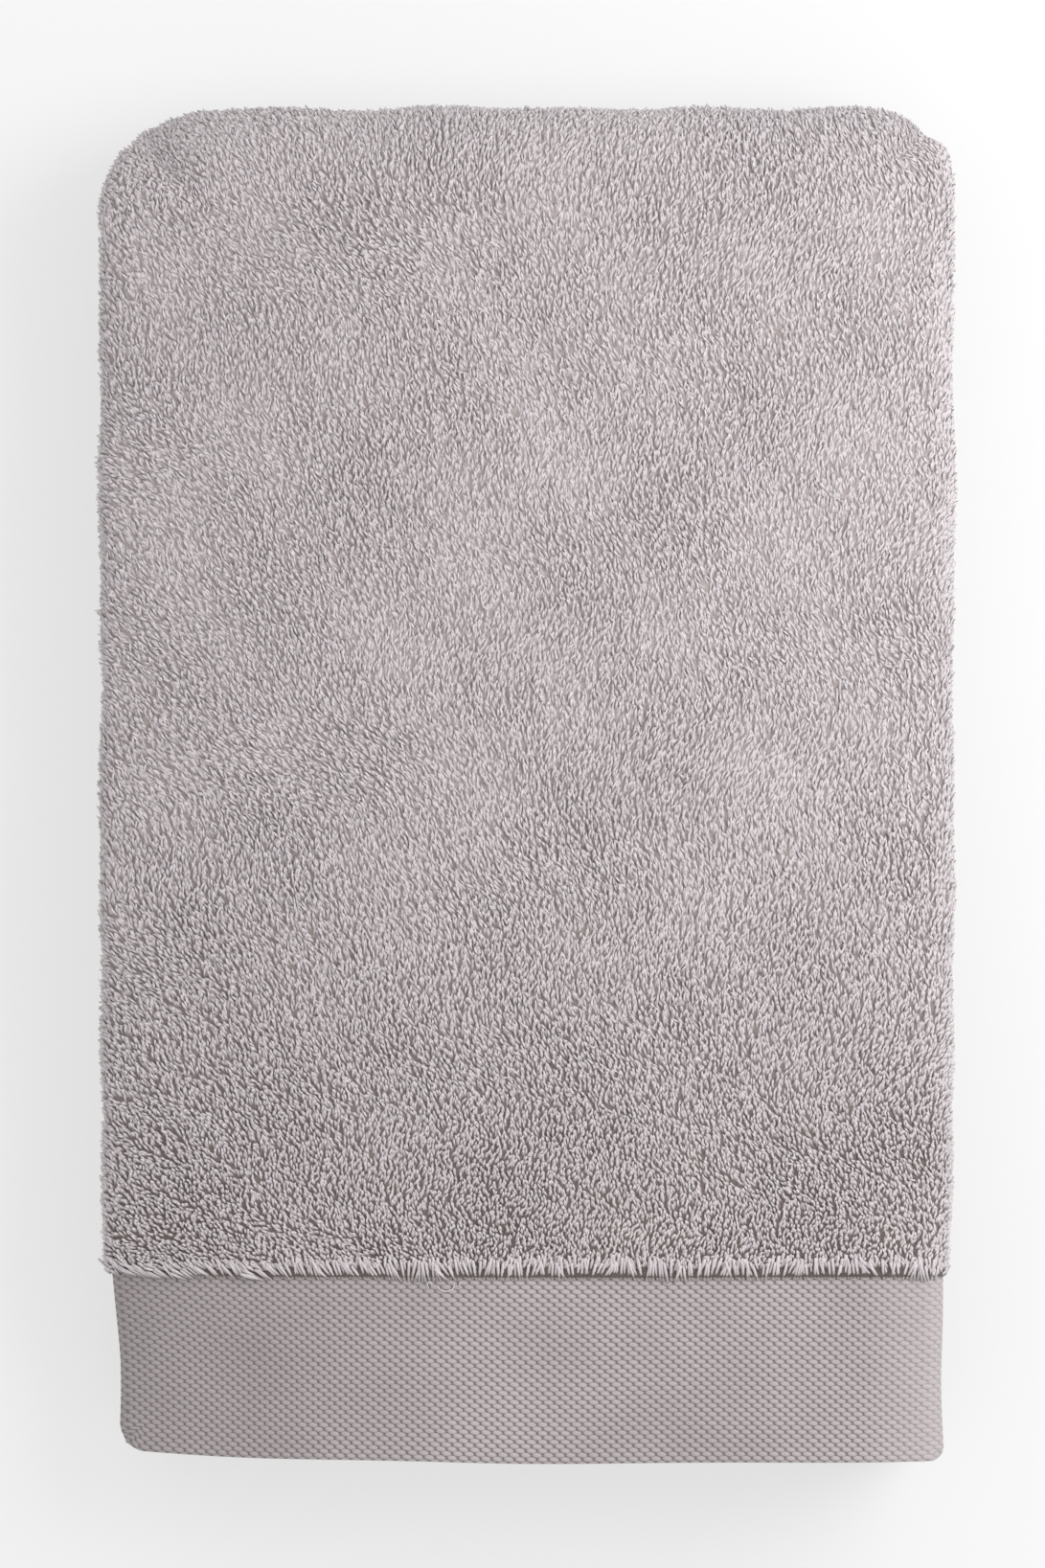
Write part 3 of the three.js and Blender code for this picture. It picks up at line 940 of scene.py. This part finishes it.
def fringe(name, stretch_name, edge, direction, pitch):
    """The last two rows of loops of the terry, beside the border band. Nothing covers them, so they show at
    full length."""
    stretch = stretches[stretch_name]
    near = np.arange(MARKS[2] - 2.5 * MM, MARKS[3] + 3 * MM, pitch)
    q = np.concatenate([near, near + pitch / 2])
    count = len(q)
    first = np.arange(count) < len(near)
    q = q + rng.uniform(-0.2, 0.2, count) * pitch
    ragged = 0.35 * waves(q, 0, [34 * MM, 61 * MM, 20 * MM], 33)
    from_edge = np.where(first, *FRINGE_ROWS["place"]) + ragged + rng.uniform(-0.15, 0.45, count)
    s = edge + direction * from_edge * MM
    height = np.where(first, *FRINGE_ROWS["height"]) * MM
    surface = frame_on(stretch, q, s, height)
    x = surface[0][:, 0]
    slant = 0.95 * ramp(-x, -0.1 * HALF_WIDTH, HALF_WIDTH)
    fallen = 0.8 * ramp(waves(x, 0, [17 * MM, 31 * MM, 53 * MM], 30), 0.5, 1.3)
    tufts = 0.28 * waves(x, 0, [5.5 * MM, 8 * MM, 12 * MM], 31)
    bearing = -(slant + fallen) + tufts + rng.normal(0, 0.12, count)
    if direction < 0:
        bearing = math.pi - bearing
    lean = np.where(first, *FRINGE_ROWS["lean"]) + rng.normal(0, 0.07, count)
    size = np.where(first, *FRINGE_ROWS["length"]) * MM * rng.uniform(0.72, 1.1, count)
    twist = math.pi / 2 + rng.uniform(-0.2, 0.2, count)
    place = np.stack([q, s], -1)
    piece = loops(name, surface, place, size, lean, bearing, twist, rings=8, sides=4, yarn=0.37 * MM,
                  width=0.5, droop=0.24, root_shade_lift=0.1)
    return attach(piece, stretch_name, PILE)


def stray_threads():
    """A few thin ends of yarn lying in curls on the border band, just under the last loops."""
    stretch = stretches["front_quarter"]
    starts = letter_marks(0.0)[2] + np.array([86.5, 91.0, 95.5]) * MM
    t = np.linspace(0, 1, 14)
    curl = np.array([3.2, 4.1, 2.3])  # radians, of each thread
    first_turn = np.array([0.4, 2.9, 0.9])
    turn = t[None] * curl[:, None] + first_turn[:, None]
    q = starts[:, None] + (1.5 * np.cos(turn) + 2.0 * t) * MM
    s = BAND_LENGTH + (-2.3 + 1.3 * np.sin(turn)) * MM
    lift = BAND_CLOTH / 2 + (0.28 + 0.3 * np.sin(math.pi * t)[None]) * MM
    line = on_strip(stretch, q, s, lift)
    across, along, up = np.eye(3)
    across = np.tile(across, (len(starts), 1))
    along = np.tile(along, (len(starts), 1))
    place = np.stack([q[:, 0], s[:, 0]], -1)
    piece = yarns("stray_threads", line, up, place, across, along, yarn=0.17 * MM, sides=5, values={})
    attach(piece, "front_quarter", THREAD)


def care_label():
    """A blank tape, sewn at the side hem and lying between the two band ends."""
    low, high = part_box("care_label")
    columns, rows = 25, 31
    u, v = np.meshgrid(np.linspace(0, 1, columns), np.linspace(0, 1, rows))
    wave = 0.35 * MM * np.sin(u * 4.2 + 0.6 * v) * u
    x = low.x + (high.x - low.x) * u
    y = low.y + (high.y - low.y) * v
    z = (low.z + high.z) / 2 + wave
    half = (high.z - low.z) / 2
    top = np.stack([x, y, z + half], -1)
    under = np.stack([x, y, z - half], -1)
    points = np.concatenate([top, under[:, ::-1]], 1).reshape(-1, 3)
    uv = np.concatenate([np.stack([u, v], -1), np.stack([(2.05 - u)[:, ::-1], v], -1)], 1).reshape(-1, 2)
    faces = faces_out(points, sweep_faces(u[0], u[0], rows))
    piece = make_mesh("blank_care_label", soften(points), faces, uv)
    attach(piece, "front_quarter", TAPE)
    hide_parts("care_label")


# ---- Camera, light and floor ----
VIEW_DISTANCE = 1.9
VIEW_HEIGHT = 0.4425  # of what the camera sees, at the towel's front face
FRAME_SHIFT = 1.2 * MM
SENSOR = 36
FLOOR_SIZE = 8
LAMPS = {  # place, size in metres and power in watts
    "key": ((0.46, 0.2, 0.52), 0.5, 3.3),
    "fill": ((-1.1, -0.2, 1.5), 1.4, 1.5),
}


def set_stage():
    scene = bpy.context.scene
    camera = bpy.data.objects.new("camera", bpy.data.cameras.new("camera"))
    camera.location = (-FRAME_SHIFT, 0, STACK_TOP + VIEW_DISTANCE)
    camera.data.sensor_width = SENSOR
    camera.data.lens = SENSOR * VIEW_DISTANCE / VIEW_HEIGHT
    camera.data.clip_end = 50
    scene.collection.objects.link(camera)
    scene.camera = camera
    scene.view_settings.view_transform = "Standard"

    bpy.ops.mesh.primitive_plane_add(size=FLOOR_SIZE, location=(0, 0, 0))
    floor = bpy.context.object
    floor.name = "floor"
    material, _, shader = node_material("floor_paint")
    shader.inputs["Base Color"].default_value = (0.32, 0.32, 0.32, 1)
    shader.inputs["Roughness"].default_value = 0.9
    shader.inputs["Emission Color"].default_value = (1, 1, 1, 1)
    shader.inputs["Emission Strength"].default_value = 0.56
    floor.data.materials.append(material)

    world = bpy.data.worlds.new("studio")
    world.use_nodes = True
    background = world.node_tree.nodes["Background"]
    background.inputs["Color"].default_value = (1, 1, 1, 1)
    background.inputs["Strength"].default_value = 0.8
    scene.world = world
    for name, (place, size, power) in LAMPS.items():
        lamp = bpy.data.lights.new(name, "AREA")
        lamp.size = size
        lamp.energy = power
        holder = bpy.data.objects.new(name, lamp)
        holder.location = place
        holder.rotation_euler = (-Vector(place)).to_track_quat("-Z", "Y").to_euler()
        scene.collection.objects.link(holder)


set_stage()
for part in stretches:
    terry(part)
border("front", "front_quarter", 0.0, 1, True)
border("inner", "inner_front_quarter", stretches["inner_front_quarter"].length, -1, False)
stray_threads()
care_label()
